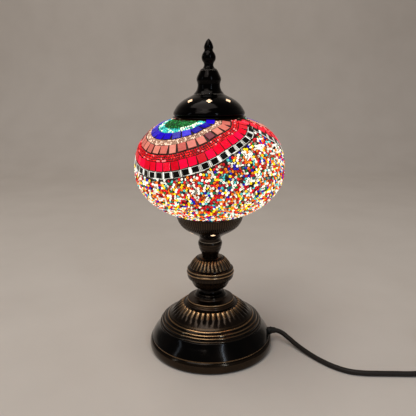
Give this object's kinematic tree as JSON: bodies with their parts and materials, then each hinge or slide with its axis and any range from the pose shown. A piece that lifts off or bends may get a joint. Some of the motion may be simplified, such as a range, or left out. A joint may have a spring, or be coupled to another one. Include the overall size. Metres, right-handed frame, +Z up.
{
  "type": "mosaic glass table lamp",
  "caption": "Table lamp with a flattened mosaic glass globe under a pierced metal cap, on a turned, fluted bronze stem and domed foot, with bulb, lead, rocker switch and plug.",
  "frame": {"origin": "centre of the felt foot on the table top, on the lamp's axis", "axes": "+Z up along the lamp's axis, +X towards the side where the lead leaves the base, -Y towards a person facing the lamp"},
  "size_m": [0.4336, 0.1858, 0.347],
  "materials": {
    "bronze": "dark antique bronze lacquer, glossy, edges rubbed to golden brown",
    "steel": "zinc plated",
    "felt": "dark green felt",
    "glass": "frosted inner globe",
    "mosaic": "lit stained glass tiles and seed beads set in white grout",
    "bulb_glass": "opal bulb glass, lit",
    "ceramic": "white heat-resistant plastic",
    "nickel": "nickel plated",
    "brass": "bare brass",
    "bakelite": "black moulded plastic",
    "fitting": "black moulded fittings",
    "rubber": "black rubber",
    "cord": "black-brown round flex"
  },
  "bodies": {
    "base": {"base_skirt": "bronze", "base_dome": "bronze", "base_collar": "bronze", "neck_spool": "bronze", "knob_bowl": "bronze", "knob_band": "bronze", "knob_dome": "bronze", "vase_neck": "bronze", "cup": "bronze", "bottom_plate": "steel", "weight_disc": "steel", "base_washer": "steel", "base_nut": "steel", "threaded_rod": "steel", "cup_washer": "steel", "cup_nut": "steel", "felt_pad": "felt", "holder_insulator": "ceramic", "plug_pin_left": "nickel", "plug_pin_right": "nickel", "holder_screw_shell": "brass", "holder_contact": "brass", "switch_contact_in": "brass", "switch_contact_out": "brass", "holder_base": "bakelite", "holder_body": "bakelite", "lead_clamp": "bakelite", "switch_base": "fitting", "switch_cover": "fitting", "plug_body": "fitting", "plug_relief": "fitting", "globe_gasket": "rubber", "strain_relief": "rubber", "coil_tie": "rubber", "mains_lead": "cord", "lead_to_coil": "cord", "lead_to_plug": "cord", "cord_coil": "cord", "inner_lead": "cord"},
    "globe": {"globe_glass": "glass", "mosaic_shell": "mosaic"},
    "cap": {"cap_dome": "bronze", "cap_collar": "steel", "cap_neck": "bronze", "cap_bolt": "steel", "cap_nut": "steel", "finial": "bronze"},
    "bulb": {"bulb_glass": "bulb_glass", "bulb_collar": "ceramic", "bulb_thread": "nickel", "bulb_contact": "nickel", "bulb_insulator": "bakelite"},
    "rocker": {"switch_rocker": "fitting", "rocker_pin": "steel"}
  },
  "joints": [
    {"name": "globe_lift", "type": "slide", "parent": "base", "child": "globe", "axis": [0, 0, 1], "range_m": [0, 0.11]},
    {"name": "cap_lift", "type": "slide", "parent": "globe", "child": "cap", "axis": [0, 0, 1], "range_m": [0, 0.05]},
    {"name": "bulb_unscrew", "type": "hinge", "parent": "base", "child": "bulb", "pos_m": [0, 0, 0.175], "axis": [0, 0, 1], "range_deg": [0, 1620]},
    {"name": "switch_rock", "type": "hinge", "parent": "base", "child": "rocker", "pos_m": [0.259, -0.0765, 0.0146], "axis": [0, 1, 0], "range_deg": [-16, 0]}
  ]
}
